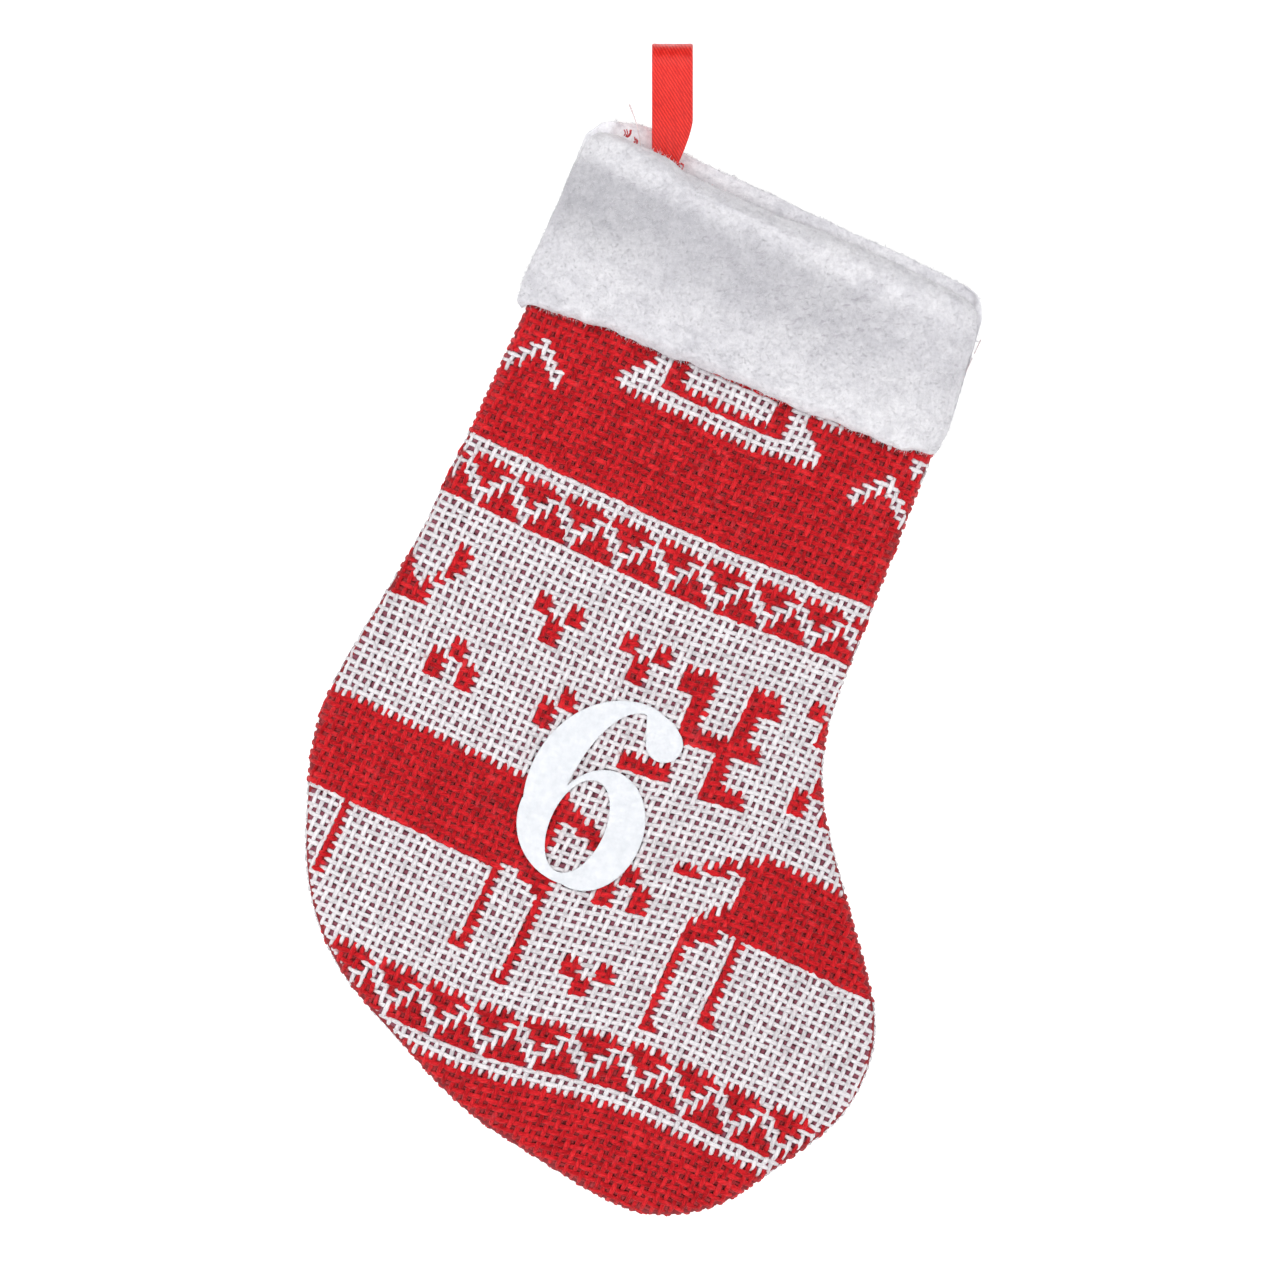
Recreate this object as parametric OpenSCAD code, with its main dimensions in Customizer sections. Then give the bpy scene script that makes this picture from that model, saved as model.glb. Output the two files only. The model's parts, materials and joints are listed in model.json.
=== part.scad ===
// A small hanging stocking: a woven leg and foot with a pocket, a fleece cuff and a ribbon loop.
// Millimetres, +Z up, front facing -Y. The origin is the centre of the peg that the loop hangs on.
// Cloth points are written [across, down] from the ribbon tack, and hung() turns them into the frame.

/* [Hanging] */
// Tilt of the leg from plumb, in degrees
hang_tilt = 25; // [20:1:30]
// Drop from the peg's centre to the ribbon tack
tack_drop = 14.4; // [13:0.2:40]
// Radius of the peg that the loop fits over
peg_r = 3; // [2:0.5:4]

/* [Ribbon] */
// Width of the ribbon
ribbon_w = 6; // [5:0.5:7]
// Thickness of the ribbon
ribbon_t = 0.35; // [0.3:0.05:0.4]
// Width of the ribbon where it is gathered at the tack
gathered_w = 3; // [2:0.5:3.5]
// Height of the pressed-together ribbon above the tack
tail_h = 5.5; // [4.5:0.5:6]

/* [Leg and foot] */
// Width of the leg at the mouth
mouth_w = 62; // [58:1:66]
// Distance of the tack from the back edge of the leg
tack_inset = 10.4; // [9:0.2:12]
// Drop from the tack to the bend of the instep
instep_drop = 71.4; // [66:1:78]
// Depth that each panel swells from the seam plane
belly = 5; // [3:0.5:6]
// Share of that depth that is left at the mouth
mouth_fullness = 0.46; // [0.2:0.02:0.6]
// Thickness of the double-woven cloth
cloth_t = 1.1; // [0.8:0.1:1.4]

/* [Cuff] */
// Depth of the cuff at the heel side
cuff_heel_side = 28; // [24:1:32]
// Depth of the cuff at the toe side
cuff_toe_side = 22.9; // [20:0.5:26]
// Thickness of the fleece
fleece_t = 1.8; // [1.4:0.1:2.4]
// Height of the front rim above the tack
front_rim = 0.5; // [0.3:0.1:1]
// Height of the back rim above the tack
back_rim = 2.2; // [1.5:0.1:3]

/* [Numeral] */
// Height of the numeral
numeral_h = 29.2; // [24:0.4:32]
// Thickness of the transfer film
film_t = 0.18; // [0.1:0.02:0.3]

/* [Thread] */
// Radius of the sewing thread
thread_r = 0.11; // [0.08:0.01:0.12]
// Spacing of the stitches along a seam
stitch_pitch = 3; // [2.5:0.5:4]

/* [Hidden] */
seam_gap = 0.3;
belly_reach = 26;
swell_length = 50;
panel_top = 1.5;
cuff_gap = 0.25;
film_gap = 0.12;
flex_gap = 0.3;
tack_gap = 0.35;
edge_roll = 0.4;
seam_inset = 0.5;
arc_steps = 9;
panel_rows = 36;
panel_cols = 20;

// Corners of the leg and foot, from the mouth down the heel side and back up the toe side:
// across, down and the radius that rounds the corner.
leg_corners = [
    [-tack_inset, panel_top, 0],
    [-tack_inset - 0.2, instep_drop - 7.6, 5],
    [-tack_inset - 3.4, instep_drop + 24.4, 37],
    [-tack_inset + 8.7, instep_drop + 53.5, 34],
    [-tack_inset + 41.4, instep_drop + 67.3, 48],
    [-tack_inset + 77.2, instep_drop + 71.7, 20],
    [mouth_w - tack_inset + 35.1, instep_drop + 36.5, 21],
    [mouth_w - tack_inset + 4.2, instep_drop, 32],
    [mouth_w - tack_inset + 0.5, cuff_toe_side - 7, 30],
    [mouth_w - tack_inset - 2.3, panel_top, 0]
];

function unit(a) = a / norm(a);
function heading(a) = atan2(a[1], a[0]);
function half_turn(a) = a - 360 * floor((a + 180) / 360);
function smooth(x) = let (c = min(1, max(0, x))) c * c * (3 - 2 * c);
function dome(x) = let (c = min(1, max(0, x))) sqrt(1 - pow(1 - c, 2));
function mix(a, b, t) = a + (b - a) * t;
function cosine_steps(n) = [for (i = [0 : n]) (1 - cos(180 * i / n)) / 2];

// The arc that rounds one corner, as points from one straight to the next.
function corner_arc(before, corner, after) =
    let (
        p = [corner[0], corner[1]],
        r = corner[2],
        a = unit([before[0], before[1]] - p),
        b = unit([after[0], after[1]] - p),
        half = acos(a * b) / 2,
        centre = p + unit(a + b) * r / sin(half),
        start = heading(p + a * r / tan(half) - centre),
        sweep = half_turn(heading(p + b * r / tan(half) - centre) - start)
    )
    [for (i = [0 : arc_steps]) let (t = start + sweep * i / arc_steps) centre + r * [cos(t), sin(t)]];

function round_path(corners) = [
    for (i = [0 : len(corners) - 1])
        each corners[i][2] == 0
            ? [[corners[i][0], corners[i][1]]]
            : corner_arc(corners[i - 1], corners[i], corners[i + 1])
];

function step_gap(p, a, b) =
    let (d = b - a, t = min(1, max(0, (p - a) * d / (d * d)))) norm(p - a - d * t);
function path_gap(p, path) = min([for (i = [1 : len(path) - 1]) step_gap(p, path[i - 1], path[i])]);

// Distance run along a path at each of its points.
function run_lengths(path) = [
    for (
        i = 0, s = 0;
        i < len(path);
        i = i + 1, s = s + (i < len(path) ? norm(path[i] - path[i - 1]) : 0)
    )
        s
];

leg_path = round_path(leg_corners);
leg_depths = [for (p = leg_path) p[1]];
sole_down = max(leg_depths);
sole_i = search(sole_down, leg_depths)[0];
heel_side = [for (i = [0 : sole_i]) [leg_path[i][1], leg_path[i][0]]];
toe_side = [for (i = [sole_i : len(leg_path) - 1]) [leg_path[i][1], leg_path[i][0]]];

function on_leg(p) = p[0] > lookup(p[1], heel_side) && p[0] < lookup(p[1], toe_side);
function edge_gap(p) = on_leg(p) ? path_gap(p, leg_path) : 0;
function fullness(down) = mix(mouth_fullness, 1, smooth(down / swell_length));

// Distances of the panel's inner and outer faces from the seam plane, at one cloth point.
function panel_faces(p) =
    let (
        q = [p[0], max(p[1], panel_top)],
        gap = edge_gap(q),
        inner = seam_gap + belly * fullness(q[1]) * dome(gap / belly_reach)
    )
    [inner, inner + cloth_t * mix(edge_roll, 1, dome(gap / cloth_t))];

// Cloth point and distance in front of the seam plane, as a point of the hung stocking's own frame.
function place(p, out) = [p[0], -out, -p[1]];

module hung() {
    translate([0, 0, -tack_drop])
        rotate([0, hang_tilt, 0])
            children();
}

// A closed sheet between two grids of points that have the same rows and columns.
module sheet(outer, inner) {
    rows = len(outer);
    cols = len(outer[0]);
    half = rows * cols;
    function id(r, c) = r * cols + c;
    function quad(a, b, c, d) = [[a, b, c], [a, c, d]];
    function rim(a, b) = quad(a, b, half + b, half + a);
    last_row = rows - 1;
    last_col = cols - 1;
    faces = [
        for (r = [0 : last_row - 1], c = [0 : last_col - 1])
            let (a = id(r, c), b = id(r, c + 1), d = id(r + 1, c + 1), e = id(r + 1, c))
            each concat(quad(a, b, d, e), quad(half + e, half + d, half + b, half + a)),
        for (c = [0 : last_col - 1])
            each concat(rim(id(0, c + 1), id(0, c)), rim(id(last_row, c), id(last_row, c + 1))),
        for (r = [0 : last_row - 1])
            each concat(rim(id(r, 0), id(r + 1, 0)), rim(id(r + 1, last_col), id(r, last_col)))
    ];
    polyhedron(points = [each each outer, each each inner], faces = faces);
}

// One straight stitch of round thread between two points.
module stitch(a, b) {
    d = b - a;
    translate(a)
        rotate([0, acos(d[2] / norm(d)), heading(d)])
            cylinder(h = norm(d), r = thread_r, $fn = 8);
}

// ---- Woven leg and foot ----

module panel() {
    last_angle = 89;
    grid = [
        for (r = [0 : panel_rows])
            let (
                down = mix(panel_top, sole_down, sin(last_angle * r / panel_rows)),
                heel = lookup(down, heel_side),
                toe = lookup(down, toe_side)
            )
            [for (t = cosine_steps(panel_cols)) [mix(heel, toe, t), down]]
    ];
    faces = [for (row = grid) [for (p = row) panel_faces(p)]];
    sheet(
        [for (r = [0 : panel_rows]) [for (c = [0 : panel_cols]) place(grid[r][c], faces[r][c][1])]],
        [for (r = [0 : panel_rows]) [for (c = [0 : panel_cols]) place(grid[r][c], faces[r][c][0])]]
    );
}

module front_panel() {
    color("firebrick")
        hung()
            panel();
}

module back_panel() {
    color("firebrick")
        hung()
            mirror([0, 1, 0])
                panel();
}

// ---- Fleece cuff ----

// Side edges of a cuff with its rim at that height: down and across, with both corners rounded.
function cuff_heel_edge(rim) =
    let (
        path = round_path([
            [0, -rim, 0],
            [-tack_inset - 2.8, -rim, 4],
            [-tack_inset - 1.6, cuff_heel_side, 2.5],
            [0, cuff_heel_side, 0]
        ])
    )
    [for (i = [1 : len(path) - 2]) [path[i][1], path[i][0]]];
function cuff_toe_edge(rim) =
    let (
        far = mouth_w - tack_inset,
        path = round_path([
            [0, -rim, 0],
            [far - 1.8, -rim, 4.5],
            [far + 1.4, cuff_toe_side, 2.5],
            [0, cuff_toe_side, 0]
        ])
    )
    [for (i = [1 : len(path) - 2]) [path[i][1], path[i][0]]];

// Rows of a cuff from rim to hem: down, and the share of the fleece's thickness there.
// Down to rim_foot the fleece is folded over the cloth's cut edge; below it lies outside the cloth.
rim_foot = panel_top - cuff_gap;
function cuff_rows(rim, hem) = [
    [-rim, 0.45],
    [-rim + 0.35, 0.8],
    [-rim + 0.9, 1],
    [rim_foot, 1],
    for (i = [0 : 6]) [mix(rim_foot + 0.05, hem - 1, i / 6), 1],
    [hem - 0.4, 0.85],
    [hem, 0.5]
];

// Columns of a cuff row: its own edges, then the panel's columns, so that it nests over the panel.
function cuff_columns(rim, down) =
    let (
        heel_edge = lookup(down, cuff_heel_edge(rim)),
        toe_edge = lookup(down, cuff_toe_edge(rim)),
        q = max(down, panel_top),
        first = max(lookup(q, heel_side) - 0.3, heel_edge + 0.4),
        last = min(lookup(q, toe_side) + 0.3, toe_edge - 0.4)
    )
    [
        heel_edge,
        mix(heel_edge, first, 0.5),
        for (t = cosine_steps(panel_cols)) mix(first, last, t),
        mix(toe_edge, last, 0.5),
        toe_edge
    ];

module cuff(rim) {
    cols = panel_cols + 4;
    side_roll = 2.5;
    side_edge = 0.35;
    least_t = 0.2;
    grid = [
        for (r = [0 : len(cuff_rows(rim, 0)) - 1])
            [
                for (c = [0 : cols])
                    let (
                        row = cuff_rows(rim, mix(cuff_heel_side, cuff_toe_side, c / cols))[r],
                        columns = cuff_columns(rim, row[0]),
                        p = [columns[c], row[0]],
                        from_edge = min(p[0] - columns[0], columns[cols] - p[0]),
                        cloth = panel_faces(p),
                        off_leg = c < 2 || c > cols - 2,
                        under = off_leg ? seam_gap : row[0] <= rim_foot ? cloth[0] : cloth[1] + cuff_gap,
                        full = cloth[1] + cuff_gap + fleece_t * row[1],
                        top = mix(seam_gap, full, mix(side_edge, 1, dome(from_edge / side_roll)))
                    )
                    [place(p, max(top, under + least_t)), place(p, under)]
            ]
    ];
    sheet(
        [for (row = grid) [for (pair = row) pair[0]]],
        [for (row = grid) [for (pair = row) pair[1]]]
    );
}

module front_cuff() {
    color("whitesmoke")
        hung()
            cuff(front_rim);
}

module back_cuff() {
    color("whitesmoke")
        hung()
            mirror([0, 1, 0])
                cuff(back_rim);
}

// ---- Numeral ----

module ellipse(across, down, half_w, half_h) {
    translate([across, -down])
        scale([half_w, half_h])
            circle(r = 1, $fn = 72);
}

// A six of unit height, centred: a crescent stem, a hairline that swells into a ball, and an oval bowl
// whose lower half runs on into the stem.
module six() {
    difference() {
        union() {
            intersection() {
                difference() {
                    ellipse(0.103, 0, 0.436, 0.5);
                    ellipse(0.090, 0.039, 0.217, 0.491);
                }
                translate([-0.4, -0.55])
                    square([0.503, 1.1]);
            }
            hull() {
                ellipse(0.103, -0.476, 0.024, 0.024);
                ellipse(0.204, -0.411, 0.063, 0.063);
                ellipse(0.228, -0.356, 0.0935, 0.0935);
            }
            ellipse(0.090, 0.185, 0.245, 0.315);
            intersection() {
                ellipse(0.012, 0.185, 0.318, 0.315);
                translate([-0.5, -0.685])
                    square([0.7, 0.5]);
            }
        }
        ellipse(0.006, 0.202, 0.138, 0.248);
    }
}

module number_film() {
    across = 28.2;
    down = 87.8;
    half_w = numeral_h * 0.36;
    half_h = numeral_h * 0.53;
    steps = 14;
    spread = [for (i = [0 : steps]) 2 * i / steps - 1];
    grid = [for (y = spread) [for (x = spread) [across + half_w * x, down + half_h * y]]];
    far = [for (row = grid) [for (p = row) panel_faces(p)[1] + film_gap]];
    color("white")
        hung()
            intersection() {
                rotate([90, 0, 0])
                    linear_extrude(belly * 3)
                        translate([across, -down])
                            scale([numeral_h, numeral_h])
                                six();
                sheet(
                    [for (r = [0 : steps]) [for (c = [0 : steps]) place(grid[r][c], far[r][c] + film_t)]],
                    [for (r = [0 : steps]) [for (c = [0 : steps]) place(grid[r][c], far[r][c])]]
                );
            }
}

// ---- Ribbon ----

// The part of the ribbon that lies over the peg.
module ribbon_crown() {
    color("red")
        rotate([90, 0, 90])
            translate([0, 0, -ribbon_w / 2])
                rotate_extrude(angle = 180, $fn = 96)
                    translate([peg_r, 0])
                        square([ribbon_t, ribbon_w]);
}

// One side of the loop, on the -Y side: straight beside the peg, then slanting in to meet its twin.
module ribbon_leg() {
    beside = peg_r * 0.9;
    foot = tack_drop - tail_h - flex_gap;
    close = 0.06;
    color("red")
        translate([-ribbon_w / 2, 0, 0])
            rotate([90, 0, 90])
                linear_extrude(ribbon_w)
                    polygon([
                        [-peg_r - ribbon_t, -flex_gap],
                        [-peg_r, -flex_gap],
                        [-peg_r, -beside],
                        [-close, -foot],
                        [-close - ribbon_t, -foot],
                        [-peg_r - ribbon_t, -beside]
                    ]);
}

module ribbon_front_leg() {
    ribbon_leg();
}

module ribbon_back_leg() {
    mirror([0, 1, 0])
        ribbon_leg();
}

// Both ends of the ribbon pressed together above the mouth, gathered towards the tack.
module ribbon_tail() {
    top = tail_h - flex_gap;
    color("red")
        translate([0, ribbon_t + 0.06, -tack_drop])
            rotate([90, 0, 0])
                linear_extrude(2 * (ribbon_t + 0.06))
                    polygon([
                        [-ribbon_w / 2, top],
                        [ribbon_w / 2, top],
                        [gathered_w / 2, tack_gap],
                        [-gathered_w / 2, tack_gap]
                    ]);
}

// The ends of the ribbon that are sewn in behind the front rim.
module ribbon_sewn_ends() {
    top = 1.3;
    bottom = 7;
    color("red")
        hung()
            translate([0, ribbon_t, 0])
                rotate([90, 0, 0])
                    linear_extrude(2 * ribbon_t)
                        polygon([
                            [-gathered_w / 2, -top],
                            [gathered_w / 2, -top],
                            [gathered_w / 2 + 0.5, -bottom],
                            [-gathered_w / 2 - 0.5, -bottom]
                        ]);
}

// ---- Thread ----

// Three bars across each side of the sewn ribbon ends.
module ribbon_tack_stitches() {
    half = gathered_w / 2 + 0.3;
    out = ribbon_t + thread_r + 0.04;
    color("red")
        hung()
            for (down = [2.4 : 1 : 4.4], side = [-1, 1])
                stitch([-half, side * out, -down], [half, side * out, -down - 0.5]);
}

// One thread of the lockstitch that joins the panels round the leg and foot.
module seam_thread(side) {
    runs = run_lengths(leg_path);
    across = [for (i = [0 : len(runs) - 1]) [runs[i], leg_path[i][0]]];
    down = [for (i = [0 : len(runs) - 1]) [runs[i], leg_path[i][1]]];
    length = runs[len(runs) - 1];
    drawn = stitch_pitch * 0.8;
    color(side < 0 ? "red" : "darkred")
        hung()
            for (s = [1 : stitch_pitch : length - stitch_pitch])
                let (
                    a = [lookup(s, across), lookup(s, down)],
                    b = [lookup(s + drawn, across), lookup(s + drawn, down)],
                    along = unit(b - a),
                    inward = seam_inset * [along[1], -along[0]],
                    out = -side * (thread_r + 0.03)
                )
                stitch(place(a + inward, out), place(b + inward, out));
}

module seam_needle_thread() {
    seam_thread(-1);
}

module seam_bobbin_thread() {
    seam_thread(1);
}

// The row of stitches inside the mouth that holds one cuff to its panel.
module mouth_stitches() {
    down = panel_top + 1.2;
    from = -tack_inset + 3;
    to = mouth_w - tack_inset - 3;
    drawn = stitch_pitch * 0.8;
    clear = thread_r + 0.12;
    color("mistyrose")
        hung()
            for (across = [from : stitch_pitch : to - drawn])
                stitch(
                    place([across, down], panel_faces([across, down])[0] - clear),
                    place([across + drawn, down], panel_faces([across + drawn, down])[0] - clear)
                );
}

module front_mouth_stitches() {
    mouth_stitches();
}

module back_mouth_stitches() {
    mirror([0, 1, 0])
        mouth_stitches();
}

// The stitches that close the cuff at its two sides, in the seam between front and back.
module cuff_side_stitches() {
    drawn = stitch_pitch * 0.8;
    heel = -tack_inset - 1.2;
    toe = mouth_w - tack_inset + 0.2;
    color("whitesmoke")
        hung() {
            for (down = [3 : stitch_pitch : cuff_heel_side - stitch_pitch])
                stitch([heel, 0, -down], [heel, 0, -down - drawn]);
            for (down = [4 : stitch_pitch : cuff_toe_side - stitch_pitch])
                stitch([toe, 0, -down], [toe, 0, -down - drawn]);
        }
}

// A thread end left standing out of the mouth beside the ribbon.
module loose_thread_end() {
    bend_r = 14;
    color("lightpink")
        hung()
            translate([-4.6, 0, -1])
                rotate([0, -20, 0])
                    rotate([90, 0, 0])
                        translate([-bend_r, 0, 0])
                            rotate_extrude(angle = 33, $fn = 96)
                                translate([bend_r, 0])
                                    circle(r = thread_r, $fn = 16);
}

ribbon_crown();
ribbon_front_leg();
ribbon_back_leg();
ribbon_tail();
ribbon_sewn_ends();
ribbon_tack_stitches();
front_panel();
back_panel();
front_cuff();
back_cuff();
number_film();
seam_needle_thread();
seam_bobbin_thread();
front_mouth_stitches();
back_mouth_stitches();
cuff_side_stitches();
loose_thread_end();
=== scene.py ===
"""Looks of a small hanging stocking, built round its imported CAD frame.

Cloth points are [across, down, out] in millimetres from the ribbon tack: across the leg, down the leg, and
out from the seam plane. world() turns them into the frame's metres. The weave is laid yarn by yarn.
"""
import json
import math
import random

import bmesh
import bpy
import numpy as np
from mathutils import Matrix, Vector, geometry, noise

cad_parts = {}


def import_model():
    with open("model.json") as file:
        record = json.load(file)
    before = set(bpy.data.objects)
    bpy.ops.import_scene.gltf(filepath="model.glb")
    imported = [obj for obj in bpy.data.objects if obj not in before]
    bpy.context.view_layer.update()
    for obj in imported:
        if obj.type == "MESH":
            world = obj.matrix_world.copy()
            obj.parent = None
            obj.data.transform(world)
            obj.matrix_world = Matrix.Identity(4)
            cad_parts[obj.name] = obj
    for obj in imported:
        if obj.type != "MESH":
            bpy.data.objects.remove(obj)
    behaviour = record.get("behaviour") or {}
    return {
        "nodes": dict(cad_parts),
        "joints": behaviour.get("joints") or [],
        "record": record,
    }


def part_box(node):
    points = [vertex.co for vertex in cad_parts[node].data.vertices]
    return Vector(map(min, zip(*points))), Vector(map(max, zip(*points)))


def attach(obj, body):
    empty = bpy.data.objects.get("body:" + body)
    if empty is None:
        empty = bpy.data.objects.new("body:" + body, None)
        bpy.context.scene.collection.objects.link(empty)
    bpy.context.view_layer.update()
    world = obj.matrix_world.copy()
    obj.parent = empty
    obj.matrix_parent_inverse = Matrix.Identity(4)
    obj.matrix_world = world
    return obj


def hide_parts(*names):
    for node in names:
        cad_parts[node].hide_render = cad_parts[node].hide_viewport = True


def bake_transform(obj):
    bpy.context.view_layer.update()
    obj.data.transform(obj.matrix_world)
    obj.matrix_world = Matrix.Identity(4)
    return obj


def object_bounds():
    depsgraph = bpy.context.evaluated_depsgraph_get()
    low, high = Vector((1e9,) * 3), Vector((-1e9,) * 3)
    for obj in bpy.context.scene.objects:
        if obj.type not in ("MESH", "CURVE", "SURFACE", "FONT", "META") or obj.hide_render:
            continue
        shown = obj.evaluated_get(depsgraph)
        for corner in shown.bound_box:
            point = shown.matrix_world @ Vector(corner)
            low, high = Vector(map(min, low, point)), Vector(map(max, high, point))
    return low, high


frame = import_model()
cad_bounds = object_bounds()

MM = 0.001
FRONT, BACK = 1, -1
SIDE_NAMES = {FRONT: "front", BACK: "back"}
NODES = frame["nodes"]
JOINTS = {joint["name"]: joint for joint in frame["joints"]}
MOUNTS = {mount["name"]: mount for mount in frame["record"]["mounts"]}

# ---- The cloth's own directions ----

TACK = np.array(JOINTS["stocking_tilt"]["pos_m"])
UP = np.array(MOUNTS["pocket_mouth"]["axis"])
UP = UP / np.linalg.norm(UP)
ACROSS = np.array([UP[2], 0, -UP[0]])


def smooth(x):
    x = np.clip(x, 0, 1)
    return x * x * (3 - 2 * x)


def mix(a, b, t):
    return a + (b - a) * t


def unit(v):
    return v / np.linalg.norm(v, axis=-1, keepdims=True)


def world(across, down, out):
    """Cloth points in millimetres, as frame points in metres. Out is positive in front of the seam plane."""
    across, down, out = (np.asarray(v, float)[..., None] for v in (across, down, out))
    return TACK + MM * (across * ACROSS - down * UP - out * np.array([0, 1, 0]))


def cloth(points):
    """World points in metres, as cloth points in millimetres."""
    p = (np.asarray(points) - TACK) / MM
    return np.stack([p @ ACROSS, -(p @ UP), -p[:, 1]], axis=1)


def vectors(items, field="co"):
    """One vector for each item of a mesh, such as the places of its vertices."""
    values = np.empty(len(items) * 3)
    items.foreach_get(field, values)
    return values.reshape(-1, 3)


def node_points(name):
    return cloth(vectors(NODES[name].data.vertices))


def curve_weights(t):
    """Weights of four neighbouring values for a smooth curve through them, at t between the middle two."""
    return np.stack([
        ((2 - t) * t - 1) * t / 2,
        ((3 * t - 5) * t * t + 2) / 2,
        ((4 - 3 * t) * t + 1) * t / 2,
        (t - 1) * t * t / 2,
    ])


class Panel:
    """The outline and faces of a woven panel, read off its CAD node at that node's own rows and columns."""

    ROWS, COLUMNS, LAST_ANGLE = 36, 20, math.radians(89)
    GAP_STEP = 0.5

    def __init__(self, node, side):
        points = node_points(node)
        points[:, 2] *= side
        self.side = side
        self.top = points[:, 1].min()
        self.depth = (points[:, 1].max() - self.top) / math.sin(self.LAST_ANGLE)
        downs = self.top + self.depth * np.sin(self.LAST_ANGLE * np.arange(self.ROWS + 1) / self.ROWS)
        steps = (1 - np.cos(np.pi * np.arange(self.COLUMNS + 1) / self.COLUMNS)) / 2
        self.heel, self.toe, self.outer, self.inner = [], [], [], []
        for down in downs:
            row = points[np.abs(points[:, 1] - down) < 0.02]
            heel, toe = row[:, 0].min(), row[:, 0].max()
            columns = [row[np.abs(row[:, 0] - mix(heel, toe, t)) < 0.02, 2] for t in steps]
            self.heel.append(heel)
            self.toe.append(toe)
            self.outer.append([column.max() for column in columns])
            self.inner.append([column.min() for column in columns])
        self.heel, self.toe = np.array(self.heel), np.array(self.toe)
        self.outer, self.inner = np.array(self.outer), np.array(self.inner)
        self.bottom = downs[-1]
        self._measure_gaps(downs)

    def _row(self, down):
        share = np.clip((np.asarray(down, float) - self.top) / self.depth, 0, math.sin(self.LAST_ANGLE))
        return np.arcsin(share) / self.LAST_ANGLE * self.ROWS

    def _along(self, values, row):
        first = np.clip(np.floor(row).astype(int), 0, self.ROWS - 1)
        weights = curve_weights(row - first)
        return sum(w * values[np.clip(first + k - 1, 0, self.ROWS)] for k, w in enumerate(weights))

    def edges(self, down):
        """Heel and toe edge, drawn in under the cuff so that no cloth shows beside the fleece."""
        row = self._row(down)
        drawn_in = 1 - smooth((np.asarray(down) - 15) / 5)
        return self._along(self.heel, row) + drawn_in, self._along(self.toe, row) - drawn_in

    def inside(self, across, down):
        heel, toe = self.edges(down)
        return (across >= heel) & (across <= toe) & (down >= self.top) & (down <= self.bottom)

    def _face(self, table, across, down):
        row = self._row(down)
        heel, toe = self._along(self.heel, row), self._along(self.toe, row)
        share = np.clip((across - heel) / (toe - heel), 0, 1)
        column = np.arccos(1 - 2 * share) / np.pi * self.COLUMNS
        r0 = np.clip(np.floor(row).astype(int), 0, self.ROWS - 1)
        c0 = np.clip(np.floor(column).astype(int), 0, self.COLUMNS - 1)
        row_weights, column_weights = curve_weights(row - r0), curve_weights(column - c0)
        total = 0
        for i in range(4):
            for k in range(4):
                rows = np.clip(r0 + i - 1, 0, self.ROWS)
                columns = np.clip(c0 + k - 1, 0, self.COLUMNS)
                total = total + row_weights[i] * column_weights[k] * table[rows, columns]
        return total

    def face(self, across, down):
        """Height of the outer face over the seam plane."""
        return self._face(self.outer, np.asarray(across, float), np.asarray(down, float))

    def lining(self, across, down):
        """Height of the inner face over the seam plane."""
        return self._face(self.inner, np.asarray(across, float), np.asarray(down, float))

    def normal(self, across, down):
        """Unit normals of the outer face, as [across, down, out]."""
        d = 0.3
        slope_a = (self.face(across + d, down) - self.face(across - d, down)) / (2 * d)
        slope_d = (self.face(across, down + d) - self.face(across, down - d)) / (2 * d)
        return unit(np.stack([-slope_a, -slope_d, np.ones_like(slope_a)], axis=-1))

    def _measure_gaps(self, downs):
        """Distance from the seam, on a grid over the panel. The mouth isn't a seam."""
        line = np.concatenate([
            np.stack([self.heel, downs], 1),
            np.stack([self.toe, downs], 1)[::-1],
        ])
        fine = []
        for a, b in zip(line[:-1], line[1:]):
            count = max(1, int(np.linalg.norm(b - a) / self.GAP_STEP))
            fine.extend(mix(a, b, k / count) for k in range(count))
        fine = np.array(fine)
        self.grid_start = np.array([self.heel.min() - 3, self.top - 3])
        size = np.array([self.toe.max() + 3, self.bottom + 3]) - self.grid_start
        shape = np.ceil(size / self.GAP_STEP).astype(int) + 1
        across = self.grid_start[0] + self.GAP_STEP * np.arange(shape[0])
        down = self.grid_start[1] + self.GAP_STEP * np.arange(shape[1])
        gaps = np.empty(shape)
        for i, a in enumerate(across):
            offsets = np.stack([np.full_like(down, a), down], 1)[:, None] - fine[None]
            gaps[i] = np.sqrt((offsets ** 2).sum(2)).min(1)
        self.gaps = gaps

    def gap(self, across, down):
        """Distance from the seam, in millimetres."""
        x = np.clip((np.asarray(across) - self.grid_start[0]) / self.GAP_STEP, 0, self.gaps.shape[0] - 1.001)
        y = np.clip((np.asarray(down) - self.grid_start[1]) / self.GAP_STEP, 0, self.gaps.shape[1] - 1.001)
        i, k = x.astype(int), y.astype(int)
        fx, fy = x - i, y - k
        g = self.gaps
        low = mix(g[i, k], g[i + 1, k], fx)
        high = mix(g[i, k + 1], g[i + 1, k + 1], fx)
        return mix(low, high, fy)


PANELS = {side: Panel(name + "_panel", side) for side, name in SIDE_NAMES.items()}

# ---- Mesh and material helpers ----


def link(name, data):
    """A new object in the scene."""
    item = bpy.data.objects.new(name, data)
    bpy.context.scene.collection.objects.link(item)
    return item


def new_object(name, points, faces):
    """A smooth-shaded piece. Points are an array; faces are an array or a list of lists."""
    mesh = bpy.data.meshes.new(name)
    mesh.from_pydata(np.asarray(points).tolist(), [], faces.tolist() if hasattr(faces, "tolist") else faces)
    mesh.update()
    mesh.shade_smooth()
    return link(name, mesh)


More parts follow.
